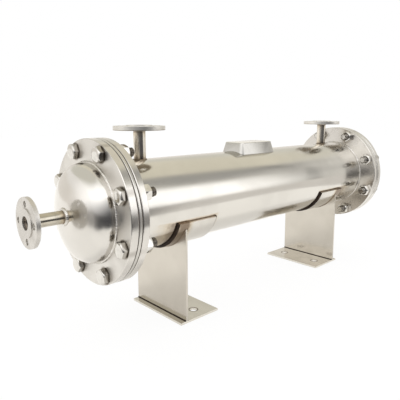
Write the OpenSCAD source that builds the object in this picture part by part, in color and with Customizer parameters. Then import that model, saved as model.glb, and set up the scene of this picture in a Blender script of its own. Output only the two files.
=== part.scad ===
/* [Vessel] */
// Height of the vessel's centreline above the floor
axis_h = 214; // [190:1:260]
// Distance between the outer faces of the two head flanges
flange_span = 772; // [700:2:900]
// Gap left all round where a tube slips into a drilled or bored plate
slip_gap = 0.1; // [0.05:0.05:0.3]

/* [Shell] */
// Outer diameter of the shell tube
shell_od = 159; // [154:1:164]
// Wall of the shell tube
shell_wall = 3; // [2:0.5:5]

/* [Girth flanges] */
// Thickness of the flange on each head
head_flange_t = 13; // [10:0.5:20]
// Thickness of the flange on each end of the shell
shell_flange_t = 12; // [10:0.5:20]
// Chamfer on the flanges' outer edges
flange_chamfer = 0.8; // [0.4:0.2:2]
// Thickness of each gasket
gasket_t = 1.5; // [1:0.5:3]
// How far a gasket's rim lies inside the flanges' rim
gasket_setback = 1.5; // [0.5:0.5:4]
// How far a tube or dome ends short of its flange's sealing face
weld_setback = 2; // [1:0.5:4]

/* [Flange bolts] */
// Distance from the outside of the shell to the centres of the bolts
bolt_offset = 25.5; // [24:0.5:32]
// Distance from the centres of the bolts to the rim of the flanges
bolt_edge = 15; // [14:0.5:25]
// Number of bolts in each flanged joint
bolt_count = 8; // [6:1:10]
// Diameter of a bolt's shank
bolt_d = 16; // [12:1:18]
// Gap round a bolt in its holes in the flanges, gaskets and tubesheets
bolt_gap = 1; // [0.5:0.1:1.5]
// Width of a bolt head or nut across its flats
bolt_flats = 24; // [20:1:25]
// Height of a bolt head
bolt_head_h = 10; // [8:0.5:14]
// Height of a nut
nut_h = 13; // [10:0.5:16]
// How far a bolt's end stands out of its nut
bolt_end = 12; // [2:0.5:20]

/* [Heads] */
// Wall of a dished head
head_wall = 4; // [3:0.5:6]
// How much further out a head stands than the shell
head_over = 2.5; // [0:0.5:4]
// Length of a head's straight skirt outside its flange
head_skirt = 5; // [4:0.5:12]

/* [Nozzle pipes] */
// Outer diameter of the nozzle pipes
pipe_od = 21.3; // [17:0.1:27]
// Wall of the nozzle pipes
pipe_wall = 2.8; // [2:0.1:4]
// How far a pipe ends short of its flange's raised face
pipe_setback = 5; // [3:0.5:7]
// Height of a nozzle flange's raised face
raised_face_h = 1.5; // [1:0.5:3]
// Diameter of a nozzle flange's raised face
raised_face_d = 45; // [40:1:46]

/* [Shell nozzles] */
// Distance from a head flange's outer face to the shell nozzle next to it
nozzle_inset = 100; // [90:1:120]
// Height of the shell nozzles' raised faces above the crest of the shell
nozzle_rise = 59.5; // [48:0.5:90]
// Thickness of a shell nozzle's flange with its raised face
nozzle_flange_t = 8.5; // [8:0.5:14]
// Diameter of the circle of bolt holes in a shell nozzle's flange
nozzle_circle_d = 65; // [62:1:68]
// Distance from those holes' centres to the rim of the flange
nozzle_edge = 12.5; // [10:0.5:18]
// Diameter of the bolt holes in a shell nozzle's flange
nozzle_hole_d = 14; // [11:0.5:14]

/* [Head nozzles] */
// Distance from a head flange's outer face to its nozzle's raised face
head_nozzle_reach = 105; // [90:1:140]
// Thickness of a head nozzle's flange with its raised face
head_nozzle_flange_t = 8; // [8:0.5:14]
// Diameter of the circle of bolt holes in a head nozzle's flange
head_nozzle_circle_d = 57; // [57:1:60]
// Distance from those holes' centres to the rim of the flange
head_nozzle_edge = 10.5; // [8:0.5:16]
// Diameter of the bolt holes in a head nozzle's flange
head_nozzle_hole_d = 10; // [8:0.5:11]

/* [Tube bundle] */
// Thickness of each tubesheet
tubesheet_t = 5; // [4:0.5:12]
// Outer diameter of the tubes
tube_od = 19; // [14:0.5:21]
// Wall of the tubes
tube_wall = 1.5; // [1:0.5:2.5]
// Distance between the centres of neighbouring tubes
tube_pitch = 25; // [24:0.5:26]
// Space kept free between the tubes and the inside of the shell
bundle_gap = 12; // [8:0.5:16]
// How far the tubes stand out of the tubesheets
tube_end = 2; // [1:0.5:4]
// Number of baffles
baffle_count = 5; // [3:1:7]
// Thickness of a baffle
baffle_t = 3; // [2:0.5:5]
// Gap between a baffle's edge and the shell
baffle_gap = 0.8; // [0.5:0.1:2]
// Share of the shell's bore that each baffle leaves open
open_share = 0.25; // [0.2:0.01:0.26]
// Diameter of a tie rod
tie_rod_d = 8; // [6:1:10]
// Distance from the inside of the shell to the centres of the tie rods
tie_rod_inset = 10.5; // [8:0.5:12]
// How far the tie rods run on past the last baffle
tie_rod_end = 12; // [6:1:20]

/* [Nameplate bracket] */
// Length of the bracket's flat top along the vessel
plate_len = 98; // [80:1:120]
// Width of the bracket's flat top across the vessel
plate_w = 50; // [40:1:60]
// Height of the bracket's top above the crest of the shell
plate_rise = 19; // [12:1:30]
// How far the bracket's sides lean out on their way down
plate_flare = 5; // [2:0.5:8]
// Radius of the bracket's corners
plate_corner_r = 6; // [5:0.5:10]
// Height of the rounded edge round the bracket's top
plate_edge = 2.5; // [1:0.5:4]
// Thickness of the bracket's sheet
plate_t = 1.5; // [1:0.25:2.5]

/* [Legs] */
// Distance from a head flange's outer face to the outer face of the leg next to it
leg_inset = 140; // [130:1:200]
// How far the sides of a leg stand in from the sides of the shell
leg_side = 5; // [2:0.5:20]
// Thickness of a leg's upright plate
leg_t = 4; // [3:0.5:8]
// Thickness of a leg's foot plate
foot_t = 4; // [3:0.5:8]
// How far a foot plate runs out past its leg's outer face
foot_out = 12; // [8:1:30]
// How far a foot plate runs from its leg's outer face towards the middle
foot_in = 79; // [70:1:110]
// Distance from a leg's outer face to the anchor holes in its foot
anchor_inset = 42; // [30:1:50]
// Distance from an anchor hole to the end of its foot
anchor_edge = 28.5; // [15:0.5:40]
// Diameter of the anchor holes
anchor_d = 14; // [10:0.5:18]

/* [Saddle pads] */
// Thickness of the pad between the shell and a leg
pad_t = 5; // [3:0.5:8]
// Angle that a pad wraps round the underside of the shell
pad_angle = 141; // [120:1:160]
// How far a pad runs out past its leg's outer face
pad_out = 16; // [10:1:24]
// How far a pad runs from its leg's outer face towards the middle
pad_in = 70; // [60:1:80]

/* [Hidden] */
$fn = 96;
// Small amount by which a cut runs past the face it cuts
cut = 1;
// Half the distance between the head flanges' outer faces
half_span = flange_span / 2;
// Places along the vessel, measured from its middle: where each layer of a flanged joint ends
head_flange_x = half_span - head_flange_t;
tubesheet_out_x = head_flange_x - gasket_t;
tubesheet_in_x = tubesheet_out_x - tubesheet_t;
shell_face_x = tubesheet_in_x - gasket_t;
shell_flange_x = shell_face_x - shell_flange_t;
shell_end_x = shell_face_x - weld_setback;
shell_id = shell_od - 2 * shell_wall;
bolt_circle_d = shell_od + 2 * bolt_offset;
bolt_hole_d = bolt_d + 2 * bolt_gap;
flange_od = bolt_circle_d + 2 * bolt_edge;
nozzle_face = shell_od / 2 + nozzle_rise;
nozzle_flange_od = nozzle_circle_d + 2 * nozzle_edge;
head_nozzle_flange_od = head_nozzle_circle_d + 2 * head_nozzle_edge;
// A head is a standard 2:1 dished end: its crown's radius is 0.9 of its width, and its knuckle's 0.17
head_d = shell_od + 2 * head_over;
crown_r = 0.9 * head_d;
knuckle_r = 0.17 * head_d;
// Centres of the dished head's two radii, measured along the axis from the flange's outer face
knuckle_centre_r = head_d / 2 - knuckle_r;
crown_drop = sqrt(pow(crown_r - knuckle_r, 2) - pow(knuckle_centre_r, 2));
crown_centre = head_skirt - crown_drop;
head_top = crown_centre + crown_r;
head_seat = head_flange_t - weld_setback;
nozzle_x = half_span - nozzle_inset;
leg_x = half_span - leg_inset;
pad_r = shell_od / 2 + pad_t;
leg_w = shell_od - 2 * leg_side;
// The two inner corners where a leg's sides meet the round of its pad
leg_top = axis_h - sqrt(pow(pad_r, 2) - pow(leg_w / 2, 2));
hex_points = 6;
hex_d = bolt_flats / cos(180 / hex_points);
nozzle_holes = 4;
bolt_turn = 180 / bolt_count;
tie_rod_r = shell_id / 2 - tie_rod_inset;
// Rings of tubes round the middle one, as many as the shell's bore has room for
tube_rings = floor((shell_id / 2 - bundle_gap - tube_od / 2) / tube_pitch);

// A cylinder that lies along the vessel from x0 to x1
module rod_x(x0, x1, d) {
    translate([x0, 0, 0]) rotate([0, 90, 0]) cylinder(h = x1 - x0, d = d);
}

// Lifts its children to the vessel's centreline, mirrored to the near end where asked
module at_end(near) {
    translate([0, 0, axis_h]) mirror([near ? 1 : 0, 0, 0]) children();
}

// Places a child at each of n points on a circle round the vessel's axis
module round_axis(n, d, turn) {
    for (i = [0 : n - 1]) rotate([i * 360 / n + turn, 0, 0]) translate([0, d / 2, 0]) children();
}

// A disc along the vessel with small chamfers on its rim
module rim_disc(x0, x1, d, c) {
    r = d / 2;
    rotate([0, 90, 0]) rotate_extrude()
        polygon([[0, x0], [r - c, x0], [r, x0 + c], [r, x1 - c], [r - c, x1], [0, x1]]);
}

// The bolt holes that pass through one layer of a flanged joint
module bolt_holes(x0, x1) {
    round_axis(bolt_count, bolt_circle_d, bolt_turn) rod_x(x0 - cut, x1 + cut, bolt_hole_d);
}

module girth_flange(x0, x1, bore) {
    difference() {
        rim_disc(x0, x1, flange_od, flange_chamfer);
        rod_x(x0 - cut, x1 + cut, bore);
        bolt_holes(x0, x1);
    }
}

module gasket(x0) {
    difference() {
        rod_x(x0, x0 + gasket_t, flange_od - 2 * gasket_setback);
        rod_x(x0 - cut, x0 + gasket_t + cut, shell_od + 2 * slip_gap);
        bolt_holes(x0, x0 + gasket_t);
    }
}

// Centres of the tubes: a middle tube and rings of six, twelve and so on round it
tube_places = [
    for (row = [-tube_rings : tube_rings], step = [-tube_rings : tube_rings])
        if (abs(row + step) <= tube_rings)
            [(step + row / 2) * tube_pitch, row * tube_pitch * sin(60)]];

module at_tubes() {
    for (place = tube_places) translate([0, place[0], place[1]]) children();
}

module at_tie_rods() {
    for (y = [-1, 1], z = [-1, 1]) translate([0, y * tie_rod_r * cos(30), z * tie_rod_r * sin(30)]) children();
}

module tubesheet(x0) {
    x1 = x0 + tubesheet_t;
    difference() {
        rim_disc(x0, x1, flange_od, flange_chamfer);
        at_tubes() rod_x(x0 - cut, x1 + cut, tube_od + 2 * slip_gap);
        bolt_holes(x0, x1);
    }
}

// Half outline of a dished head: skirt, knuckle and crown, all drawn a wall's thickness in where asked
module head_outline(inside, skirt_start) {
    r = head_d / 2 - inside;
    crown = crown_r - inside;
    lean = atan2(knuckle_centre_r, crown_drop);
    reach = crown + cut;
    translate([0, skirt_start]) square([r, head_skirt - skirt_start]);
    intersection() {
        translate([knuckle_centre_r, head_skirt]) circle(r = knuckle_r - inside);
        translate([0, head_skirt]) square([head_d, head_top]);
    }
    intersection() {
        translate([0, crown_centre]) circle(r = crown);
        translate([0, crown_centre])
            polygon([[0, 0], [reach * tan(lean), reach], [0, reach]]);
        translate([0, head_skirt]) square([head_d, head_top]);
    }
}

module dished_head() {
    difference() {
        translate([half_span, 0, 0]) rotate([0, 90, 0]) rotate_extrude() head_outline(0, -head_seat);
        translate([half_span, 0, 0]) rotate([0, 90, 0]) rotate_extrude() head_outline(head_wall, -head_seat - cut);
        rod_x(half_span, half_span + head_top + cut, pipe_od + 2 * slip_gap);
    }
}

// A pipe standing on z = start with its open end at z = stop
module pipe(start, stop) {
    difference() {
        translate([0, 0, start]) cylinder(h = stop - start, d = pipe_od);
        translate([0, 0, start - cut]) cylinder(h = stop - start + 2 * cut, d = pipe_od - 2 * pipe_wall);
    }
}

// A flange slipped over a pipe, with its raised face up at z = face
module nozzle_flange(face, t, d, circle_d, hole_d, turn) {
    back = face - t;
    difference() {
        union() {
            translate([0, 0, back]) cylinder(h = t - raised_face_h, d = d);
            translate([0, 0, back]) cylinder(h = t, d = raised_face_d);
        }
        translate([0, 0, back - cut]) cylinder(h = t + 2 * cut, d = pipe_od + 2 * slip_gap);
        for (i = [0 : nozzle_holes - 1])
            rotate([0, 0, i * 360 / nozzle_holes + turn]) translate([circle_d / 2, 0, back - cut])
                cylinder(h = t + 2 * cut, d = hole_d);
    }
}

module head_nozzle() {
    rotate([0, 90, 0]) pipe(half_span + head_top - head_wall - weld_setback,
        half_span + head_nozzle_reach - pipe_setback);
}

module head_nozzle_flange() {
    rotate([0, 90, 0]) nozzle_flange(half_span + head_nozzle_reach, head_nozzle_flange_t,
        head_nozzle_flange_od, head_nozzle_circle_d, head_nozzle_hole_d, 0);
}

// A shell nozzle's pipe, its foot cut to the round of the shell's bore
module shell_nozzle(x) {
    translate([x, 0, axis_h]) difference() {
        pipe(0, nozzle_face - pipe_setback);
        rod_x(-pipe_od, pipe_od, shell_id);
    }
}

module shell_nozzle_flange(x) {
    translate([x, 0, axis_h]) nozzle_flange(nozzle_face, nozzle_flange_t,
        nozzle_flange_od, nozzle_circle_d, nozzle_hole_d, 45);
}

// A hexagon along the vessel whose corners are eased at one end, as on a bolt head or nut
module hexagon(x0, h, eased_out) {
    ease = hex_d / 2 - bolt_flats / 2;
    rise = ease * tan(30);
    intersection() {
        translate([x0, 0, 0]) rotate([0, 90, 0]) cylinder(h = h, d = hex_d, $fn = hex_points);
        translate([x0, 0, 0]) rotate([0, 90, 0]) rotate_extrude()
            polygon(eased_out
                ? [[0, 0], [hex_d / 2, 0], [hex_d / 2, h - rise], [bolt_flats / 2, h], [0, h]]
                : [[0, 0], [bolt_flats / 2, 0], [hex_d / 2, rise], [hex_d / 2, h], [0, h]]);
    }
}

module bolts() {
    round_axis(bolt_count, bolt_circle_d, bolt_turn) union() {
        hexagon(half_span, bolt_head_h, true);
        rod_x(shell_flange_x - nut_h - bolt_end, half_span + bolt_head_h / 2, bolt_d);
    }
}

module nuts() {
    round_axis(bolt_count, bolt_circle_d, bolt_turn) difference() {
        hexagon(shell_flange_x - nut_h, nut_h, false);
        rod_x(shell_flange_x - nut_h - cut, shell_flange_x + cut, bolt_d + 2 * slip_gap);
    }
}

module shell() {
    color("gainsboro") translate([0, 0, axis_h]) difference() {
        rod_x(-shell_end_x, shell_end_x, shell_od);
        rod_x(-shell_end_x - cut, shell_end_x + cut, shell_id);
        for (x = [-nozzle_x, nozzle_x]) translate([x, 0, 0]) cylinder(h = shell_od, d = pipe_od + 2 * slip_gap);
    }
}

// The bracket's solid form with leaning sides and a rounded top edge, all drawn in by a sheet's thickness where asked
module bracket_form(inside, bottom) {
    top = shell_od / 2 + plate_rise - inside;
    edge_z = top - plate_edge;
    corner = plate_corner_r - inside;
    hull() for (x = [-1, 1], y = [-1, 1])
        translate([x * (plate_len / 2 - plate_corner_r), y * (plate_w / 2 - plate_corner_r), 0]) {
            translate([0, 0, bottom]) cylinder(h = edge_z - bottom, r1 = corner + plate_flare, r2 = corner, $fn = 24);
            translate([0, 0, edge_z]) cylinder(h = plate_edge, r1 = corner, r2 = corner - plate_edge, $fn = 24);
        }
}

module nameplate_bracket() {
    bottom = sqrt(pow(shell_od / 2, 2) - pow(plate_w / 2 + plate_flare, 2)) - cut;
    color("lightgray") translate([0, 0, axis_h]) difference() {
        bracket_form(0, bottom);
        bracket_form(plate_t, bottom - cut);
        rod_x(-plate_len, plate_len, shell_od + 2 * slip_gap);
    }
}

module tubes() {
    color("silver") translate([0, 0, axis_h]) at_tubes() difference() {
        rod_x(-tubesheet_out_x - tube_end, tubesheet_out_x + tube_end, tube_od);
        rod_x(-tubesheet_out_x - tube_end - cut, tubesheet_out_x + tube_end + cut, tube_od - 2 * tube_wall);
    }
}

// Distance between the baffles, and from the first one to the near tubesheet
baffle_step = 2 * tubesheet_in_x / (baffle_count + 1);

module baffle(x0, up) {
    baffle_d = shell_id - 2 * baffle_gap;
    open_h = shell_id / 2 - shell_id * open_share;
    difference() {
        rod_x(x0, x0 + baffle_t, baffle_d);
        translate([x0 - cut, -shell_id, up ? open_h : -open_h - shell_id])
            cube([baffle_t + 2 * cut, 2 * shell_id, shell_id]);
        at_tubes() rod_x(x0 - cut, x0 + baffle_t + cut, tube_od + 4 * slip_gap);
        at_tie_rods() rod_x(x0 - cut, x0 + baffle_t + cut, tie_rod_d + 2 * slip_gap);
    }
}

module baffles() {
    color("silver") translate([0, 0, axis_h])
        for (i = [1 : baffle_count]) baffle(-tubesheet_in_x + i * baffle_step, i % 2 == 1);
}

module tie_rods() {
    last = -tubesheet_in_x + baffle_count * baffle_step + baffle_t;
    color("darkgray") translate([0, 0, axis_h])
        at_tie_rods() rod_x(-tubesheet_in_x, last + tie_rod_end, tie_rod_d);
}

module pad(near) {
    half = pad_angle / 2;
    reach = 2 * shell_od;
    color("gainsboro") at_end(near) translate([leg_x - pad_in, 0, 0]) rotate([90, 0, 90])
        linear_extrude(pad_in + pad_out) intersection() {
            difference() {
                circle(d = shell_od + 2 * pad_t);
                circle(d = shell_od + 2 * slip_gap);
            }
            polygon([[0, 0], [-reach * sin(half), -reach * cos(half)], [-reach, -reach],
                [reach, -reach], [reach * sin(half), -reach * cos(half)]]);
        }
}

module leg(near) {
    color("whitesmoke") at_end(near) translate([leg_x - leg_t, 0, -axis_h]) rotate([90, 0, 90])
        linear_extrude(leg_t) difference() {
            translate([-leg_w / 2, foot_t]) square([leg_w, leg_top - foot_t]);
            translate([0, axis_h]) circle(d = 2 * pad_r + 2 * slip_gap);
        }
}

module foot(near) {
    color("whitesmoke") at_end(near) translate([leg_x, 0, -axis_h]) difference() {
        translate([-foot_in, -leg_w / 2, 0]) cube([foot_in + foot_out, leg_w, foot_t]);
        for (y = [-1, 1]) translate([-anchor_inset, y * (leg_w / 2 - anchor_edge), -cut])
            cylinder(h = foot_t + 2 * cut, d = anchor_d);
    }
}

module shell_flange(near) {
    color("lightgray") at_end(near) girth_flange(shell_flange_x, shell_face_x, shell_od + 2 * slip_gap);
}

module shell_gasket(near) {
    color("dimgray") at_end(near) gasket(shell_face_x);
}

module end_tubesheet(near) {
    color("silver") at_end(near) tubesheet(tubesheet_in_x);
}

module head_gasket(near) {
    color("dimgray") at_end(near) gasket(tubesheet_out_x);
}

module head_flange(near) {
    color("lightgray") at_end(near) girth_flange(head_flange_x, half_span, head_d + 2 * slip_gap);
}

module head(near) {
    color("gainsboro") at_end(near) dished_head();
}

module end_nozzle(near) {
    color("silver") at_end(near) head_nozzle();
}

module end_nozzle_flange(near) {
    color("lightgray") at_end(near) head_nozzle_flange();
}

module end_bolts(near) {
    color("silver") at_end(near) bolts();
}

module end_nuts(near) {
    color("silver") at_end(near) nuts();
}

shell();
nameplate_bracket();
tubes();
baffles();
tie_rods();
color("silver") shell_nozzle(-nozzle_x);  // inlet_nozzle
color("lightgray") shell_nozzle_flange(-nozzle_x);  // inlet_flange
color("silver") shell_nozzle(nozzle_x);  // outlet_nozzle
color("lightgray") shell_nozzle_flange(nozzle_x);  // outlet_flange
shell_flange(true);  // near_shell_flange
shell_gasket(true);  // near_shell_gasket
end_tubesheet(true);  // near_tubesheet
head_gasket(true);  // near_head_gasket
head_flange(true);  // near_head_flange
head(true);  // near_head
end_nozzle(true);  // near_head_nozzle
end_nozzle_flange(true);  // near_head_nozzle_flange
end_bolts(true);  // near_bolts
end_nuts(true);  // near_nuts
pad(true);  // near_pad
leg(true);  // near_leg
foot(true);  // near_foot
shell_flange(false);  // far_shell_flange
shell_gasket(false);  // far_shell_gasket
end_tubesheet(false);  // far_tubesheet
head_gasket(false);  // far_head_gasket
head_flange(false);  // far_head_flange
head(false);  // far_head
end_nozzle(false);  // far_head_nozzle
end_nozzle_flange(false);  // far_head_nozzle_flange
end_bolts(false);  // far_bolts
end_nuts(false);  // far_nuts
pad(false);  // far_pad
leg(false);  // far_leg
foot(false);  // far_foot
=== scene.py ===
import math

import bpy
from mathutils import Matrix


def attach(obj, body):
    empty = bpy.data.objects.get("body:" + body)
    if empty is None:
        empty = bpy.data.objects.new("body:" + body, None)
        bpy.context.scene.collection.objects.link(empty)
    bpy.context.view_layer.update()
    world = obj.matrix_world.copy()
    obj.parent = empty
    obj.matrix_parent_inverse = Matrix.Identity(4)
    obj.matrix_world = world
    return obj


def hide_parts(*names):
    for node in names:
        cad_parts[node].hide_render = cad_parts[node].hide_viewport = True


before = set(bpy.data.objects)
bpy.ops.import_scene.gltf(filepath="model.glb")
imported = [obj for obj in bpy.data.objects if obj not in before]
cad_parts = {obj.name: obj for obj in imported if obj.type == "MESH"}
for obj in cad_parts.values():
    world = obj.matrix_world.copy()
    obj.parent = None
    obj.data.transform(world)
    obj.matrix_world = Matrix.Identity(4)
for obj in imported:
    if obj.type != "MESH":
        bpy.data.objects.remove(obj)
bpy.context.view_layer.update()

# The view. The camera stands a little above the vessel's centreline, off its near head, and looks
# along its near side. Place, turn, lens and shift were worked out from the photograph's own lines.
bpy.ops.object.camera_add(
    location=(-0.7277, -0.6396, 0.3745),
    rotation=(math.radians(80.925), 0, math.radians(-43.462)),
)
camera = bpy.context.object
camera.data.lens = 39.67
camera.data.sensor_width = 36
camera.data.shift_x = -0.0205
camera.data.shift_y = -0.0431
bpy.context.scene.camera = camera
bpy.context.scene.view_settings.view_transform = "Standard"


# The room round the object: a white photographic room. Bare metal shows its bright tent with a dark
# hem, its warm ceiling and the dim side behind the camera; the eye and dull things see plain white.
def feed(tree, made, inputs):
    for name, value in inputs.items():
        if isinstance(value, bpy.types.NodeSocket):
            tree.links.new(value, made.inputs[name])
        else:
            made.inputs[name].default_value = value


def node(tree, kind, inputs=None, **settings):
    made = tree.nodes.new("ShaderNode" + kind)
    for name, value in settings.items():
        setattr(made, name, value)
    feed(tree, made, inputs or {})
    return made


def parts(tree, vector):
    return node(tree, "SeparateXYZ", {0: vector}).outputs


def maths(tree, operation, a, b=0.0):
    return node(tree, "Math", {0: a, 1: b}, operation=operation).outputs[0]


def plus(tree, a, b):
    return maths(tree, "ADD", a, b)


def minus(tree, a, b):
    return maths(tree, "SUBTRACT", a, b)


def times(tree, product, *others):
    for other in others:
        product = maths(tree, "MULTIPLY", product, other)
    return product


def larger(tree, a, b):
    return maths(tree, "MAXIMUM", a, b)


def smaller(tree, a, b):
    return maths(tree, "MINIMUM", a, b)


def within_one(tree, value):
    return smaller(tree, larger(tree, value, 0), 1)


def ramp(tree, value, low, high, to_low=0.0, to_high=1.0):
    inputs = {"Value": value, "From Min": low, "From Max": high, "To Min": to_low, "To Max": to_high}
    return node(tree, "MapRange", inputs, interpolation_type="SMOOTHSTEP").outputs["Result"]


def band(tree, value, start, full, fade, end):
    return times(tree, ramp(tree, value, start, full), ramp(tree, value, end, fade))


def patch(tree, across, sides, along, ends):
    return times(tree, band(tree, across, *sides), band(tree, along, *ends))


def blend(tree, share, a, b):
    a, b = [part if isinstance(part, bpy.types.NodeSocket) else (*part, 1) for part in (a, b)]
    made = node(tree, "Mix", data_type="RGBA")
    feed(tree, made, {0: share, 6: a, 7: b})
    return made.outputs[2]


degrees_per_radian = 57.296
room = bpy.data.worlds.new("white_room")
bpy.context.scene.world = room
room.use_nodes = True
tree = room.node_tree
tree.nodes.clear()
x, y, z = parts(tree, node(tree, "TexCoord").outputs["Generated"])
height = times(tree, maths(tree, "ARCSINE", z), degrees_per_radian)
turn = times(tree, maths(tree, "ARCTAN2", x, times(tree, y, -1)), degrees_per_radian)

# Both are in degrees: a turn of 0 looks along -Y and one of 90 along +X; height 0 is level.
above = larger(tree, minus(tree, height, 22), 0)
left_edge = ramp(tree, minus(tree, turn, times(tree, above, 1.4)), -149, -95)
right_edge = ramp(tree, plus(tree, turn, times(tree, above, 0.8)), 59, 45)
tent = times(tree, left_edge, right_edge, ramp(tree, height, -8, 6), ramp(tree, height, 80, 56, 0.32, 1))
ceiling = times(tree, ramp(tree, turn, 40, 75), ramp(tree, height, 26, 40))
right_wall = patch(tree, turn, (44, 56, 74, 105), height, (-22, -16, 30, 45))
grey_panel = patch(tree, turn, (41, 53, 66, 79), height, (22, 35, 50, 58))
frame_turn = plus(tree, turn, times(tree, maths(tree, "ABSOLUTE", minus(tree, height, 22)), 0.15))
tent_frame = times(tree, patch(tree, frame_turn, (54, 59, 62, 66), height, (4, 14, 32, 44)), 0.45)
bowed_turn = minus(tree, turn, times(tree, height, height, 0.012))
tent_hem = patch(tree, bowed_turn, (55.0, 56.1, 56.9, 57.8), height, (-16, -9, 30, 44))
light_strip = times(tree, ramp(tree, turn, -110, -125), band(tree, height, 9, 14, 18, 23))
leftwards = larger(tree, times(tree, turn, -1), 0)
drop = times(tree, leftwards, plus(tree, times(tree, leftwards, 0.0009), 0.2))
climb = within_one(tree, maths(tree, "DIVIDE", plus(tree, plus(tree, height, drop), 9), 52))
slope = plus(tree, turn, times(tree, larger(tree, plus(tree, height, 5), 0), 0.8))
dim_side = times(tree, minus(tree, 1, times(tree, climb, climb)), band(tree, slope, -135, -90, 31, 42))

colour = blend(tree, ramp(tree, height, 14, 24), (0.93, 0.89, 0.83), (0.78, 0.765, 0.69))
for share, shade in (
    (light_strip, (1.05, 1.03, 1.00)),
    (right_wall, (0.90, 0.88, 0.83)),
    (ceiling, (0.88, 0.835, 0.70)),
    (grey_panel, (0.45, 0.445, 0.42)),
    (tent, (1.7, 1.7, 1.7)),
    (tent_frame, (0.50, 0.495, 0.48)),
    (tent_hem, (0.07, 0.07, 0.065)),
    (dim_side, (0.075, 0.075, 0.082)),
):
    colour = blend(tree, share, colour, shade)
rays = node(tree, "LightPath").outputs
seen_in_metal = larger(tree, rays["Is Glossy Ray"], rays["Is Transmission Ray"])
plain = blend(tree, rays["Is Camera Ray"], (0.85, 0.85, 0.85), (1, 1, 1))
background = node(tree, "Background", {"Color": blend(tree, seen_in_metal, plain, colour), "Strength": 1.0})
tree.links.new(background.outputs[0], node(tree, "OutputWorld").inputs[0])


# The table under the vessel: a white paper sweep, lit to plain white. In the metal it is bright up to
# its edge, where it falls off to the grey floor, and dimmer right under the vessel.
bpy.ops.mesh.primitive_plane_add(size=12, location=(0, 0, 0))
floor = bpy.context.object
floor.name = "white_floor"
paper = bpy.data.materials.new("white_paper")
paper.use_nodes = True
tree = paper.node_tree
tree.nodes.clear()
x, y, z = parts(tree, node(tree, "TexCoord").outputs["Object"])
turn = times(tree, maths(tree, "ARCTAN2", plus(tree, x, 0.41), times(tree, y, -1)), degrees_per_radian)
past_front = minus(tree, times(tree, y, -0.97), times(tree, smaller(tree, x, 0.1), 0.24))
past_left = plus(tree, times(tree, x, 0.83), times(tree, y, 0.55))
past_edge = larger(tree, minus(tree, past_front, 0.565), minus(tree, -0.79, past_left))
past_edge = larger(tree, past_edge, minus(tree, x, 0.74))
off_table = ramp(tree, past_edge, -0.04, 0.05)
leftwards = within_one(tree, maths(tree, "DIVIDE", turn, -118))
paler = minus(tree, 1, maths(tree, "POWER", leftwards, 4))
dim_floor = times(tree, off_table, paler, ramp(tree, turn, 44, 28))
table = blend(tree, off_table, (1.62, 1.59, 1.52), (0.84, 0.81, 0.77))
table = blend(tree, dim_floor, table, (0.075, 0.075, 0.08))
rays = node(tree, "LightPath").outputs
glow = node(tree, "Emission", {"Color": blend(tree, rays["Is Camera Ray"], table, (1.06, 1.06, 1.06))})
lit = node(tree, "BsdfDiffuse", {"Color": (0.93, 0.92, 0.90, 1)})
under_vessel = patch(tree, x, (-0.52, -0.40, 0.40, 0.52), y, (-0.17, -0.08, 0.08, 0.17))
own_light = larger(tree, ramp(tree, under_vessel, 0, 1, 0.5, 0.3), off_table)
in_metal = times(tree, rays["Is Glossy Ray"], own_light)
looked_at = larger(tree, in_metal, times(tree, rays["Is Camera Ray"], 0.85))
sheet = node(tree, "MixShader", {0: looked_at, 1: lit.outputs[0], 2: glow.outputs[0]})
tree.links.new(sheet.outputs[0], node(tree, "OutputMaterial").inputs[0])
floor.data.materials.append(paper)


# The shell: a tube rolled and welded from 3 mm stainless sheet, then polished with a belt round its
# girth, so fine lines run round it. Handling leaves it a little dull, and the pads' welding browned.
def effect(name, inputs, outputs):
    made = bpy.data.node_groups.new(name, "ShaderNodeTree")
    for label, kind in inputs.items():
        made.interface.new_socket(label, in_out="INPUT", socket_type="NodeSocket" + kind)
    for label, kind in outputs.items():
        made.interface.new_socket(label, in_out="OUTPUT", socket_type="NodeSocket" + kind)
    return made, made.nodes.new("NodeGroupInput").outputs, made.nodes.new("NodeGroupOutput").inputs


def use(tree, group, inputs):
    made = tree.nodes.new("ShaderNodeGroup")
    made.node_tree = group
    feed(tree, made, inputs)
    return made.outputs


def distance(tree, a, b):
    flat = node(tree, "CombineXYZ", {0: a, 1: b}).outputs[0]
    return node(tree, "VectorMath", {0: flat}, operation="LENGTH").outputs["Value"]


soft_edges, given, gives = effect("soft_edges", {"Width": "Float"}, {"Normal": "Vector", "Worn": "Float"})
rounded = node(soft_edges, "Bevel", {"Radius": given["Width"]}, samples=6).outputs[0]
flat = node(soft_edges, "NewGeometry").outputs["Normal"]
kept = node(soft_edges, "VectorMath", {0: flat, 1: rounded}, operation="DOT_PRODUCT").outputs["Value"]
soft_edges.links.new(rounded, gives["Normal"])
soft_edges.links.new(ramp(soft_edges, kept, 0.995, 0.86), gives["Worn"])

turned_lines, given, gives = effect("turned_lines", {"Place": "Vector", "Pitch": "Float"}, {"Lines": "Float"})
x, y, z = parts(turned_lines, given["Place"])
radius = distance(turned_lines, y, z)
across = maths(turned_lines, "DIVIDE", plus(turned_lines, radius, x), given["Pitch"])
slow_y = times(turned_lines, y, 16)
slow_z = times(turned_lines, z, 16)
path = node(turned_lines, "CombineXYZ", {0: across, 1: slow_y, 2: slow_z}).outputs[0]
lines = node(turned_lines, "TexNoise", {"Vector": path, "Scale": 1.0, "Detail": 3.0, "Roughness": 0.65})
turned_lines.links.new(lines.outputs[0], gives["Lines"])

handling, given, gives = effect("handling", {"Place": "Vector", "Size": "Float"}, {"Dull": "Float"})
scale = maths(handling, "DIVIDE", 1.0, given["Size"])
cloudy = {"Vector": given["Place"], "Scale": scale, "Detail": 4.0, "Distortion": 0.8}
clouds = node(handling, "TexNoise", cloudy).outputs[0]
handling.links.new(ramp(handling, clouds, 0.38, 0.68), gives["Dull"])

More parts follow.
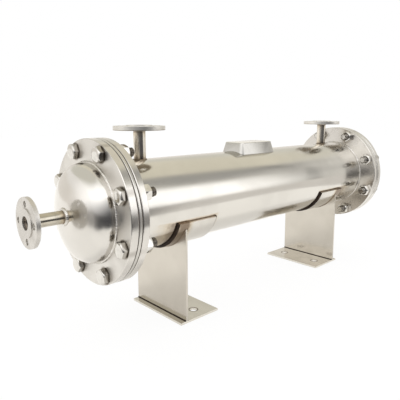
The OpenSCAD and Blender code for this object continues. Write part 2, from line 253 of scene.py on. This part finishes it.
near_weld = {"Place": "Vector", "Away": "Float"}
weld_heat, given, gives = effect("weld_heat", near_weld, {"Tint": "Color", "Burnt": "Float"})
ragged = node(weld_heat, "TexNoise", {"Vector": given["Place"], "Scale": 160.0, "Detail": 2.0}).outputs[0]
reach = plus(weld_heat, given["Away"], times(weld_heat, minus(weld_heat, ragged, 0.5), 0.006))
tint = blend(weld_heat, ramp(weld_heat, reach, 0.002, 0.007), (0.20, 0.14, 0.09), (0.56, 0.46, 0.32))
weld_heat.links.new(tint, gives["Tint"])
weld_heat.links.new(ramp(weld_heat, reach, 0.015, 0.001), gives["Burnt"])


def bare_metal(name):
    material = bpy.data.materials.new(name)
    material.use_nodes = True
    shader = material.node_tree.nodes["Principled BSDF"]
    shader.inputs["Metallic"].default_value = 1
    return material, material.node_tree, shader


def centred(tree, x=0.0, z=0.0, turn=(0, 0, 0)):
    at = parts(tree, node(tree, "TexCoord").outputs["Object"])
    both_ends = node(tree, "CombineXYZ", {0: maths(tree, "ABSOLUTE", at[0]), 1: at[1], 2: at[2]}).outputs[0]
    inputs = {"Vector": both_ends, "Location": (x, 0, z), "Rotation": [math.radians(part) for part in turn]}
    return node(tree, "Mapping", inputs, vector_type="TEXTURE").outputs[0]


def turning(tree, place, pitch):
    return use(tree, turned_lines, {"Place": place, "Pitch": pitch})["Lines"]


def paint(tree, shader, colour):
    tree.links.new(colour, shader.inputs["Base Color"])


def dress(tree, shader, place, grain, dark, light, smooth, rough, depth, edge=0.0005, size=0.05, satin=0.0):
    dull = use(tree, handling, {"Place": place, "Size": size})["Dull"]
    edges = use(tree, soft_edges, {"Width": edge})
    worn = edges["Worn"]
    mixed = plus(tree, times(tree, dull, 0.65), times(tree, grain, 0.35))
    brighter = [min(1, part * 1.08) for part in light]
    colour = blend(tree, times(tree, worn, 0.6), blend(tree, mixed, light, dark), brighter)
    paint(tree, shader, colour)
    gloss = plus(tree, ramp(tree, mixed, 0.1, 0.9, smooth, rough), satin)
    gloss = minus(tree, gloss, times(tree, worn, smooth * 0.3))
    tree.links.new(gloss, shader.inputs["Roughness"])
    relief = {"Height": grain, "Distance": depth, "Strength": 1.0, "Normal": edges["Normal"]}
    tree.links.new(node(tree, "Bump", relief).outputs[0], shader.inputs["Normal"])
    return colour


def browned(tree, place, away, share, colour):
    heat = use(tree, weld_heat, {"Place": place, "Away": away})
    return blend(tree, times(tree, heat["Burnt"], share), colour, heat["Tint"])


def coat(material, *names):
    for name in names:
        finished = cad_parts[name]
        finished.data.materials.clear()
        finished.data.materials.append(material)


axis_height = 0.214
shell_radius = 0.0795
pad_start = 0.176
pad_end = 0.262
shell_polish, tree, shader = bare_metal("belt_polished_shell")
place = centred(tree, z=axis_height)
lines = turning(tree, place, 0.0005)
colour = dress(
    tree, shader, place, lines, dark=(0.651, 0.628, 0.586), light=(0.702, 0.679, 0.637),
    smooth=0.13, rough=0.19, depth=0.0000015, edge=0.001, size=0.12,
)
x, y, z = parts(tree, place)
past_pad = minus(tree, x, pad_end)
beside_pad = larger(tree, times(tree, past_pad, 0.25), minus(tree, pad_start - pad_end + 0.002, past_pad))
above_pad = times(tree, plus(tree, z, 0.026), 2.5)
paint(tree, shader, browned(tree, place, larger(tree, beside_pad, above_pad), 0.8, colour))
coat(shell_polish, "shell")


# The bundle inside: nineteen drawn tubes expanded into two drilled tubesheets, with segmental baffles
# and four tie rods. Only the rims of the tubesheets show; the rest is as smooth as it left the mill.
brushed, given, gives = effect("brushed", {"Place": "Vector", "Stretch": "Vector"}, {"Grain": "Float"})
drawn = node(brushed, "VectorMath", {0: given["Place"], 1: given["Stretch"]}, operation="MULTIPLY").outputs[0]
grain = node(brushed, "TexNoise", {"Vector": drawn, "Scale": 1.0, "Detail": 3.0, "Roughness": 0.65})
brushed.links.new(grain.outputs[0], gives["Grain"])


def brushing(tree, place, stretch):
    return use(tree, brushed, {"Place": place, "Stretch": stretch})["Grain"]


tube_steel, tree, shader = bare_metal("drawn_tube")
place = centred(tree, z=axis_height)
grain = brushing(tree, place, (25, 1800, 1800))
dress(
    tree, shader, place, grain, dark=(0.512, 0.493, 0.456), light=(0.614, 0.595, 0.558),
    smooth=0.24, rough=0.36, depth=0.000004,
)
coat(tube_steel, "tubes", "tie_rods")

plate_steel, tree, shader = bare_metal("turned_plate")
place = centred(tree, z=axis_height)
lines = turning(tree, place, 0.0006)
dress(
    tree, shader, place, lines, dark=(0.558, 0.539, 0.502), light=(0.67, 0.651, 0.614),
    smooth=0.24, rough=0.36, depth=0.000006,
)
coat(plate_steel, "baffles", "near_tubesheet", "far_tubesheet")


# The girth flanges: four rings turned from stainless plate and polished, duller on their faces than on
# their rims. Their edges are broken by a small bright chamfer, and a dark brown ring is painted round
# each bolt, a painted shade where the heads and nuts sit.
def facing(tree, axis):
    normal = parts(tree, node(tree, "NewGeometry").outputs["Normal"])
    return maths(tree, "ABSOLUTE", normal[axis])


bolt_circle = 0.105
joint_start = 0.360
joint_end = 0.372
flange_steel, tree, shader = bare_metal("turned_flange")
place = centred(tree, z=axis_height)
lines = turning(tree, place, 0.0006)
x, y, z = parts(tree, place)
on_face = ramp(tree, facing(tree, 0), 0.75, 0.95, 0.03, 0.20)
satin = times(tree, on_face, ramp(tree, x, joint_start, joint_end, 0.4, 1))
colour = dress(
    tree, shader, place, lines, dark=(0.642, 0.618, 0.581), light=(0.705, 0.681, 0.644),
    smooth=0.14, rough=0.21, depth=0.000003, edge=0.0007, size=0.04, satin=satin,
)
from_axis = distance(tree, y, z)
eighth = maths(tree, "FLOORED_MODULO", maths(tree, "ARCTAN2", y, z), math.pi / 4)
eighth = minus(tree, eighth, math.pi / 8)
aside = times(tree, from_axis, maths(tree, "SINE", eighth))
outward = minus(tree, times(tree, from_axis, maths(tree, "COSINE", eighth)), bolt_circle)
# Painted shade: a dark brown ring round each bolt, stronger on the head flanges than on the shell flanges.
round_bolt = ramp(tree, distance(tree, aside, outward), 0.0168, 0.0125)
painted_bolt_shade = times(tree, round_bolt, ramp(tree, x, joint_start, joint_end, 0.3, 0.85))
paint(tree, shader, blend(tree, painted_bolt_shade, colour, (0.12, 0.09, 0.06)))
coat(flange_steel, "near_shell_flange", "far_shell_flange", "near_head_flange", "far_head_flange")


# The gaskets: rings of dark compressed fibre sheet, nipped between the flanges and the tubesheets a
# little inside the rims, so each shows as a thin dark line.
gasket_sheet, tree, shader = bare_metal("fibre_gasket")
shader.inputs["Metallic"].default_value = 0
place = centred(tree, z=axis_height)
fibres = brushing(tree, place, (900, 500, 500))
paint(tree, shader, blend(tree, ramp(tree, fibres, 0.35, 0.7), (0.11, 0.090, 0.075), (0.20, 0.170, 0.145)))
tree.links.new(ramp(tree, fibres, 0.3, 0.7, 0.65, 0.9), shader.inputs["Roughness"])
fuzz = node(tree, "Bump", {"Height": fibres, "Distance": 0.0001, "Strength": 1.0})
tree.links.new(fuzz.outputs[0], shader.inputs["Normal"])
coat(gasket_sheet, "near_shell_gasket", "far_shell_gasket", "near_head_gasket", "far_head_gasket")


# The heads: dished ends spun from stainless plate, with a short straight skirt that is welded to the
# flange. Spinning and polishing leave faint rings about the middle.
head_polish, tree, shader = bare_metal("spun_head")
place = centred(tree, z=axis_height)
lines = turning(tree, place, 0.0008)
dress(
    tree, shader, place, lines, dark=(0.651, 0.628, 0.591), light=(0.698, 0.674, 0.637),
    smooth=0.15, rough=0.21, depth=0.000003, edge=0.001, size=0.07,
)
coat(head_polish, "near_head", "far_head")


# The pipe stubs: drawn stainless pipe, one on the crest of the shell near each end and one in the
# middle of each head. Welding has browned them towards their ends.
def pipe_finish(place, tree, shader, dark, light, ends):
    grain = brushing(tree, place, (30, 1500, 1500))
    colour = dress(
        tree, shader, place, grain, dark, light, smooth=0.14, rough=0.21, depth=0.000002, size=0.02
    )
    along = parts(tree, place)[0]
    to_root, to_flange = [maths(tree, "ABSOLUTE", minus(tree, along, end)) for end in ends]
    paint(tree, shader, browned(tree, place, smaller(tree, to_root, to_flange), 0.75, colour))


crest_at = 0.286
on_crest = {"x": crest_at, "turn": (0, -90, 0)}
crest_pipe, tree, shader = bare_metal("drawn_crest_pipe")
place = centred(tree, **on_crest)
# Painted light: the crest pipes are painted lighter than the head pipes of the same stock.
pipe_finish(place, tree, shader, (0.72, 0.67, 0.585), (0.83, 0.785, 0.705), (0.2935, 0.3445))
coat(crest_pipe, "inlet_nozzle", "outlet_nozzle")

head_pipe, tree, shader = bare_metal("drawn_head_pipe")
place = centred(tree, z=axis_height)
# Painted shade: the head pipes are painted darker than the crest pipes of the same stock.
pipe_finish(place, tree, shader, (0.45, 0.415, 0.345), (0.56, 0.52, 0.44), (0.4315, 0.483))
coat(head_pipe, "near_head_nozzle", "far_head_nozzle")


# The nozzle flanges: small turned rings with a raised face, cut with fine grooves that grip a gasket.
# Their backs were only rough turned, and those on the crest are browned there by the weld. On the head
# nozzle flanges the back is painted near white and made mostly non-metal, a painted light.
def nozzle_flange_finish(place, tree, shader, face, dark, light, back, painted_pale_back=0.0):
    x, y, z = parts(tree, place)
    radius = distance(tree, y, z)
    groove = maths(tree, "SINE", times(tree, radius, 2 * math.pi / 0.0008))
    on_face = times(tree, ramp(tree, radius, 0.0226, 0.0222), ramp(tree, x, face - 0.0006, face))
    relief = plus(tree, turning(tree, place, 0.0006), times(tree, groove, on_face, 2.5))
    colour = dress(
        tree, shader, place, relief, dark, light, smooth=0.36, rough=0.45, depth=0.000004, size=0.02
    )
    # The back gets its own colour. On the head nozzle flanges it is made near white and mostly non-metal, a
    # painted light.
    behind = ramp(tree, x, face - 0.0070, face - 0.0076)
    paint(tree, shader, blend(tree, behind, colour, back))
    tree.links.new(minus(tree, 1, times(tree, behind, painted_pale_back)), shader.inputs["Metallic"])


crest_flange, tree, shader = bare_metal("turned_crest_flange")
place = centred(tree, **on_crest)
# Painted light: the crest flanges are painted lighter than the same flanges on the heads.
nozzle_flange_finish(
    place, tree, shader, face=0.3528, dark=(0.70, 0.68, 0.64), light=(0.80, 0.78, 0.74),
    back=(0.34, 0.29, 0.22),
)
coat(crest_flange, "inlet_flange", "outlet_flange")

head_flange, tree, shader = bare_metal("turned_head_nozzle_flange")
place = centred(tree, z=axis_height)
# Painted light: a near-white, mostly non-metal back.
nozzle_flange_finish(
    place, tree, shader, face=0.4908, dark=(0.58, 0.555, 0.52), light=(0.65, 0.625, 0.59),
    back=(0.95, 0.93, 0.89), painted_pale_back=0.75,
)
coat(head_flange, "near_head_nozzle_flange", "far_head_nozzle_flange")


# The girth bolts: M16 stainless hexagon bolts, eight to an end, put in from the head's side. A turned
# washer face sits on the flange, the head's corners are rounded off, and the end is threaded.
def pick(*pieces):
    bpy.ops.object.select_all(action="DESELECT")
    for piece in pieces:
        piece.select_set(True)
    bpy.context.view_layer.objects.active = pieces[0]


def apply_modifier(piece, kind, **settings):
    pick(piece)
    made = piece.modifiers.new(kind.lower(), kind)
    for name, value in settings.items():
        setattr(made, name, value)
    bpy.ops.object.modifier_apply(modifier=made.name)


def close_mesh():
    bpy.ops.mesh.select_all(action="SELECT")
    bpy.ops.mesh.normals_make_consistent(inside=False)
    bpy.ops.object.mode_set(mode="OBJECT")


def turned_blank(rings, segments=64):
    radius, foot = rings[0]
    bpy.ops.mesh.primitive_circle_add(
        vertices=segments, radius=radius, fill_type="NGON", location=(0, 0, foot)
    )
    blank = bpy.context.object
    bpy.ops.object.mode_set(mode="EDIT")
    for below, above in zip(rings, rings[1:]):
        rise = above[1] - below[1]
        share = above[0] / below[0]
        bpy.ops.mesh.extrude_region_move(TRANSFORM_OT_translate={"value": (0, 0, rise)})
        bpy.ops.transform.resize(value=(share, share, 1), center_override=(0, 0, above[1]))
    close_mesh()
    bpy.ops.object.transform_apply()
    return blank


def hexagon(flats, low, high):
    corner = flats / 2 / math.cos(math.pi / 6)
    middle = (0, 0, (low + high) / 2)
    bpy.ops.mesh.primitive_cylinder_add(vertices=6, radius=corner, depth=high - low, location=middle)
    bpy.ops.object.transform_apply()
    return bpy.context.object


def cut(piece, tool, operation):
    apply_modifier(piece, "BOOLEAN", object=tool, operation=operation, solver="MANIFOLD")
    bpy.data.objects.remove(tool)


def smooth_over(piece, angle):
    pick(piece)
    bpy.ops.object.shade_smooth_by_angle(angle=math.radians(angle))


def soften(piece, width, segments, angle):
    sharp = math.radians(angle)
    apply_modifier(piece, "BEVEL", width=width, segments=segments, limit_method="ANGLE", angle_limit=sharp)


def joined(name, pieces):
    whole, *others = pieces
    for piece in others:
        pick(whole, piece)
        bpy.ops.object.join()
    whole.name = name
    return whole


bolt_radius = 0.008
thread_pitch = 0.002
across_flats = 0.024
corner_radius = 0.0138
head_seat = 0.386


def thread(low, turns):
    half = thread_pitch * 0.5
    at = (bolt_radius - half, 0, low)
    bpy.ops.mesh.primitive_circle_add(vertices=3, radius=half, location=at, rotation=(math.pi / 2, 0, 0))
    ridge = bpy.context.object
    bpy.ops.object.transform_apply()
    apply_modifier(
        ridge, "SCREW", axis="Z", angle=2 * math.pi, screw_offset=thread_pitch, iterations=turns,
        steps=24, render_steps=24,
    )
    bpy.ops.object.mode_set(mode="EDIT")
    bpy.ops.mesh.select_all(action="SELECT")
    bpy.ops.mesh.remove_doubles(threshold=0.00001)
    bpy.ops.mesh.select_all(action="SELECT")
    bpy.ops.mesh.fill_holes(sides=3)
    close_mesh()
    return ridge


def ring_of_eight(name, model, side, twist):
    copies = []
    for number in range(8):
        pick(model)
        bpy.ops.object.duplicate()
        copy = bpy.context.object
        around = math.radians(22.5 + 45 * number)
        copy.rotation_euler = (0, 0, math.radians(twist * number))
        bpy.ops.object.transform_apply()
        copy.rotation_euler = (0, side * math.pi / 2, 0)
        bpy.ops.object.transform_apply()
        copy.location = (0, bolt_circle * math.sin(around), axis_height + bolt_circle * math.cos(around))
        bpy.ops.object.transform_apply()
        copies.append(copy)
    return joined(name, copies)


bolt_steel, tree, shader = bare_metal("formed_bolt")
place = centred(tree)
grain = brushing(tree, place, (900, 900, 900))
colour = dress(
    tree, shader, place, grain, dark=(0.600, 0.580, 0.545), light=(0.710, 0.690, 0.655),
    smooth=0.06, rough=0.11, depth=0.000002, edge=0.0004, size=0.012,
)
# Painted shade: the head's hex sides are painted dark brown.
painted_flank_shade = times(tree, ramp(tree, facing(tree, 0), 0.75, 0.3), 0.6)
paint(tree, shader, blend(tree, painted_flank_shade, colour, (0.20, 0.175, 0.14)))

thread_steel, tree, shader = bare_metal("rolled_thread")
place = centred(tree)
grain = brushing(tree, place, (1200, 1200, 1200))
colour = dress(
    tree, shader, place, grain, dark=(0.60, 0.58, 0.54), light=(0.74, 0.72, 0.68),
    smooth=0.20, rough=0.32, depth=0.000006, edge=0.0003, size=0.006,
)
# Painted shade: the thread's sides are painted near black.
painted_flank_shade = times(tree, ramp(tree, facing(tree, 0), 0.9, 0.75), 0.9)
paint(tree, shader, blend(tree, painted_flank_shade, colour, (0.09, 0.07, 0.05)))

head_shape = (
    (corner_radius, 0.3866), (corner_radius, 0.3922), (0.0135, 0.3933), (0.0127, 0.3943), (0.0113, 0.3951),
    (0.0093, 0.39565), (0.0066, 0.39592), (0.0036, 0.396),
)
bolt = hexagon(across_flats, 0.3866, 0.396)
cut(bolt, turned_blank(head_shape), "INTERSECT")
soften(bolt, 0.0005, 2, 28)
smooth_over(bolt, 32)
washer_face = turned_blank(((0.0112, head_seat), (0.0112, 0.3868)))
core = bolt_radius - thread_pitch * 0.62
shank_shape = ((0.0058, 0.328), (core, 0.3289), (core, 0.3532), (bolt_radius, 0.354), (bolt_radius, 0.3868))
shank = turned_blank(shank_shape)
ridge = thread(0.3295, 11)
for part, material in (
    (bolt, bolt_steel), (washer_face, bolt_steel), (shank, thread_steel), (ridge, thread_steel)
):
    part.data.materials.clear()
    part.data.materials.append(material)
bolt = joined("bolt_pattern", [bolt, washer_face, shank, ridge])
for side, end in ((1, "far"), (-1, "near")):
    bolts = ring_of_eight(end + "_hexagon_bolts", bolt, side, 37)
    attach(bolts, "root")
    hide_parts(end + "_bolts")
bpy.data.objects.remove(bolt)


# The nuts: stainless hexagon nuts on the shell's side, cut from bar, with both ends chamfered and a
# countersunk thread. The bolts' ends stand out of them by six threads.
nut_seat = 0.353
nut_end = 0.3401
nut_steel, tree, shader = bare_metal("cut_nut")
place = centred(tree)
grain = brushing(tree, place, (900, 900, 900))
dress(
    tree, shader, place, grain, dark=(0.650, 0.630, 0.595), light=(0.780, 0.765, 0.735),
    smooth=0.06, rough=0.11, depth=0.000002, edge=0.0004, size=0.012,
)
nut = hexagon(across_flats, nut_end, nut_seat)
nut_shape = ((0.0112, nut_end), (corner_radius, 0.3416), (corner_radius, 0.3518), (0.0116, nut_seat))
cut(nut, turned_blank(nut_shape), "INTERSECT")
countersink = ((0.0089, 0.3399), (0.0081, 0.3410), (0.0081, 0.3532))
cut(nut, turned_blank(countersink), "DIFFERENCE")
soften(nut, 0.0004, 2, 28)
smooth_over(nut, 32)
for side, end in ((1, "far"), (-1, "near")):
    nuts = ring_of_eight(end + "_hexagon_nuts", nut, side, 23)
    nuts.data.materials.clear()
    nuts.data.materials.append(nut_steel)
    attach(nuts, "root")
    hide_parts(end + "_nuts")
bpy.data.objects.remove(nut)


# The nameplate bracket: a shallow box pressed from 1.5 mm sheet, with rounded corners, a flat top with
# softened edges and a skirt that flares to the shell and is welded there. It is brushed lengthwise.
bracket_top = 0.3123
bracket_foot = bracket_top - 0.034
bpy.ops.mesh.primitive_plane_add(size=1, location=(0, 0, bracket_top))
bracket = bpy.context.object
bpy.ops.transform.resize(value=(0.098, 0.050, 1))
bpy.ops.object.transform_apply()
bpy.ops.object.mode_set(mode="EDIT")
bpy.ops.mesh.select_all(action="SELECT")
bpy.ops.mesh.bevel(offset=0.007, segments=6, affect="VERTICES")
bpy.ops.mesh.select_all(action="SELECT")
bpy.ops.mesh.extrude_region_move(TRANSFORM_OT_translate={"value": (0, 0, -0.034)})
bpy.ops.transform.resize(value=(1.16, 1.30, 1), center_override=(0, 0, bracket_foot))
close_mesh()
soften(bracket, 0.0018, 4, 50)
bpy.ops.mesh.primitive_cylinder_add(
    vertices=256, radius=shell_radius + 0.0001, depth=0.2, location=(0, 0, axis_height),
    rotation=(0, math.pi / 2, 0),
)
former = bpy.context.object
bpy.ops.object.transform_apply()
cut(bracket, former, "DIFFERENCE")
smooth_over(bracket, 32)
bracket.name = "pressed_bracket"
bracket_steel, tree, shader = bare_metal("brushed_bracket")
place = centred(tree)
grain = brushing(tree, place, (18, 1400, 1400))
colour = dress(
    tree, shader, place, grain, dark=(0.860, 0.850, 0.825), light=(0.930, 0.922, 0.900),
    smooth=0.16, rough=0.24, depth=0.000005, edge=0.0006, size=0.03,
)
# Painted light and shade: the bracket is painted lighter than the other steel, and its skirt darker.
upward = parts(tree, node(tree, "NewGeometry").outputs["Normal"])[2]
painted_skirt_shade = times(tree, ramp(tree, upward, 0.7, 0.4), 0.95)
paint(tree, shader, blend(tree, painted_skirt_shade, colour, (0.50, 0.485, 0.455)))
bracket.data.materials.clear()
bracket.data.materials.append(bracket_steel)
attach(bracket, "root")
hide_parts("nameplate_bracket")


# The pads and legs: 5 mm pads rolled to the shell, and 4 mm plate legs on 4 mm feet, all of brushed
# stainless plate. The legs are brushed up and down, the pads and feet along, and the legs are painted
# darker and browner than the pads and feet, a painted shade.
leg_at = 0.244
pad_steel, tree, shader = bare_metal("rolled_pad")
place = centred(tree, z=axis_height)
grain = brushing(tree, place, (30, 1200, 1200))
colour = dress(
    tree, shader, place, grain, dark=(0.614, 0.586, 0.539), light=(0.684, 0.656, 0.614),
    smooth=0.16, rough=0.24, depth=0.000004, edge=0.0008, size=0.04,
)
past_leg = minus(tree, parts(tree, place)[0], leg_at)
from_leg = larger(tree, times(tree, past_leg, 0.17), times(tree, past_leg, -0.9))
paint(tree, shader, browned(tree, place, from_leg, 0.9, colour))
coat(pad_steel, "near_pad", "far_pad")

leg_steel, tree, shader = bare_metal("brushed_leg")
place = centred(tree)
grain = brushing(tree, place, (1500, 1500, 12))
colour = dress(
    tree, shader, place, grain, dark=(0.670, 0.640, 0.600), light=(0.735, 0.705, 0.665),
    smooth=0.18, rough=0.24, depth=0.000002, edge=0.0006, size=0.06,
)
# Painted shade: the legs are painted darker and browner than the pads and feet.
painted_leg_shade = (0.50, 0.455, 0.375)
paint(tree, shader, blend(tree, 0.5, colour, painted_leg_shade))
coat(leg_steel, "near_leg", "far_leg")

anchor_x = 0.204
anchor_y = 0.046
foot_steel, tree, shader = bare_metal("brushed_foot")
place = centred(tree)
grain = brushing(tree, place, (900, 14, 900))
colour = dress(
    tree, shader, place, grain, dark=(0.590, 0.560, 0.500), light=(0.680, 0.645, 0.580),
    smooth=0.14, rough=0.20, depth=0.000003, edge=0.0006, size=0.05,
)
# Painted highlight: the feet's sides are painted lighter than their tops.
colour = blend(tree, ramp(tree, facing(tree, 2), 0.8, 0.5), colour, (0.80, 0.77, 0.71))
x, y, z = parts(tree, place)
beside_hole = minus(tree, maths(tree, "ABSOLUTE", y), anchor_y)
from_hole = distance(tree, minus(tree, x, anchor_x), beside_hole)
# Painted shade: a dark ring is painted round each anchor hole.
ring = times(tree, band(tree, from_hole, 0.0070, 0.0075, 0.0088, 0.0098), 0.95)
paint(tree, shader, blend(tree, ring, colour, (0.12, 0.09, 0.065)))
coat(foot_steel, "near_foot", "far_foot")


# The round welds: beads laid by hand where the flanges, heads and pipe stubs meet, each a low ridge
# with fine ripples. They are brushed bright, apart from the thin beads at the roots of the crest
# pipes, which are coloured dark brown.
ripples, given, gives = effect("weld_ripples", {"Place": "Vector", "Count": "Float"}, {"Ripples": "Float"})
x, y, z = parts(ripples, given["Place"])
around = times(ripples, maths(ripples, "ARCTAN2", y, z), given["Count"])
wander = node(ripples, "TexNoise", {"Vector": given["Place"], "Scale": 90.0}).outputs[0]
steps = maths(ripples, "SINE", plus(ripples, around, times(ripples, wander, 3)))
ripples.links.new(ramp(ripples, steps, -1, 1), gives["Ripples"])


def weld_finish(name, place_at, count, dark=(0.595, 0.558, 0.502), light=(0.744, 0.725, 0.698)):
    material, tree, shader = bare_metal(name)
    place = centred(tree, **place_at)
    ridges = use(tree, ripples, {"Place": place, "Count": count})["Ripples"]
    dress(
        tree, shader, place, ridges, dark, light,
        smooth=0.16, rough=0.26, depth=0.00012, edge=0.0003, size=0.01,
    )
    return material


def roughen(bead, name, lump, height):
    lumps = bpy.data.textures.new(name, "CLOUDS")
    lumps.noise_scale = lump
    apply_modifier(bead, "DISPLACE", texture=lumps, texture_coords="LOCAL", strength=height, mid_level=0.5)


def lay_bead(name, at, tilt, ring, thick, material):
    bpy.ops.mesh.primitive_torus_add(
        location=at, rotation=tilt, major_radius=ring, minor_radius=thick,
        major_segments=240 if ring > 0.05 else 72, minor_segments=10,
    )
    bead = bpy.context.object
    bead.name = name
    bpy.ops.object.transform_apply()
    roughen(bead, name + "_lumps", thick * 2.5, thick * 0.5)
    bpy.ops.object.shade_smooth()
    bead.data.materials.append(material)
    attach(bead, "root")
    return bead


about_axis = {"z": axis_height}
girth_weld = weld_finish("girth_weld", about_axis, 230)
head_pipe_weld = weld_finish("head_pipe_weld", about_axis, 36)
crest_pipe_weld = weld_finish("crest_pipe_weld", on_crest, 36)
crest_root_weld = weld_finish("crest_root_weld", on_crest, 36, (0.10, 0.075, 0.05), (0.34, 0.28, 0.20))
axis_beads = (
    ("_head_weld", 0.3866, 0.0820, 0.0026, girth_weld, "head_steel"),
    ("_shell_weld", 0.3525, 0.0803, 0.0022, girth_weld, "shell_steel"),
    ("_head_pipe_weld", 0.4315, 0.0118, 0.0030, head_pipe_weld, "pipe_steel"),
    ("_pipe_end_weld", 0.4828, 0.0110, 0.0018, head_pipe_weld, "pipe_steel"),
)
for side, end, crest in ((-1, "near", "inlet"), (1, "far", "outlet")):
    for name, x, ring, thick, material, slot in axis_beads:
        at = (side * x, 0, axis_height)
        lay_bead(end + name, at, (0, math.pi / 2, 0), ring, thick, material)
    root = (side * crest_at, 0, 0.2935)
    bead = lay_bead(crest + "_root_weld", root, (0, 0, 0), 0.0113, 0.0015, crest_root_weld)
    for point in bead.data.vertices:
        point.co.z -= point.co.y ** 2 / (2 * shell_radius)
    top = (side * crest_at, 0, 0.3443)
    lay_bead(crest + "_top_weld", top, (0, 0, 0), 0.0110, 0.0018, crest_pipe_weld)


# The pad and leg welds: fillets run all round each pad, up both sides of each leg and along each foot.
# At the pads' ends and the feet they are painted nearly black, a painted shade for the gaps there; they
# are brown along the pads' upper edges, and thin and clean where the legs meet the pads.
def dark_weld_finish(name, dark, light, smooth, rough):
    material, tree, shader = bare_metal(name)
    place = centred(tree, z=axis_height)
    mottle = brushing(tree, place, (500, 500, 500))
    dress(tree, shader, place, mottle, dark, light, smooth, rough, depth=0.00004, edge=0.0001, size=0.008)
    return material, shader


brown_edge_weld, shader = dark_weld_finish(
    "brown_pad_edge_weld", (0.20, 0.135, 0.085), (0.32, 0.225, 0.145), smooth=0.3, rough=0.4
)
# Painted shade: a nearly black, non-metal weld at the pads' ends and along the feet.
black_shade_weld, shader = dark_weld_finish(
    "weld_painted_black_as_shade", (0.010, 0.006, 0.004), (0.045, 0.026, 0.015), smooth=0.4, rough=0.55
)
shader.inputs["Metallic"].default_value = 0
shader.inputs["Specular IOR Level"].default_value = 0.15


def fillet(start, turn, thick, material, lay, **course):
    bpy.ops.mesh.primitive_circle_add(
        vertices=10, radius=thick, fill_type="NGON", location=start, rotation=turn
    )
    bead = bpy.context.object
    bpy.ops.object.transform_apply()
    bpy.ops.object.mode_set(mode="EDIT")
    bpy.ops.mesh.select_all(action="SELECT")
    lay(**course)
    close_mesh()
    bead.data.materials.append(material)
    return bead


def arc_fillet(x, ring, thick, half_angle, material):
    start = (x, -ring * math.sin(half_angle), axis_height - ring * math.cos(half_angle))
    return fillet(
        start, (math.pi / 2 - half_angle, 0, 0), thick, material, bpy.ops.mesh.spin,
        steps=48, angle=-2 * half_angle, center=(0, 0, axis_height), axis=(1, 0, 0),
    )


def straight_fillet(start, move, turn, thick, material):
    return fillet(
        start, turn, thick, material, bpy.ops.mesh.extrude_region_move, TRANSFORM_OT_translate={"value": move}
    )


pad_edge = 0.0800
pad_half = math.radians(70.5)
leg_half = math.asin(0.0745 / 0.0845)
leg_sides = (leg_at - 0.002, leg_at + 0.002)
pad_side = pad_edge * math.sin(pad_half)
pad_brim = axis_height - pad_edge * math.cos(pad_half)
for side, end in ((-1, "near"), (1, "far")):
    runs = []
    for x in (pad_start, pad_end):
        runs.append(arc_fillet(side * x, pad_edge, 0.0040, pad_half, black_shade_weld))
    for x in leg_sides:
        foot_run = (side * x, -0.0742, 0.004)
        runs.append(straight_fillet(foot_run, (0, 0.1484, 0), (math.pi / 2, 0, 0), 0.0015, black_shade_weld))
    for hand in (-1, 1):
        pad_run = (side * pad_start, hand * pad_side, pad_brim)
        along_pad = (side * (pad_end - pad_start), 0, 0)
        runs.append(straight_fillet(pad_run, along_pad, (0, math.pi / 2, 0), 0.0007, brown_edge_weld))
    for x in leg_sides:
        runs.append(arc_fillet(side * x, 0.0847, 0.0009, leg_half, pad_steel))
    welds = joined(end + "_support_welds", runs)
    roughen(welds, end + "_fillet_lumps", 0.006, 0.0006)
    bpy.ops.object.shade_smooth_by_angle(angle=math.radians(50))
    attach(welds, "root")
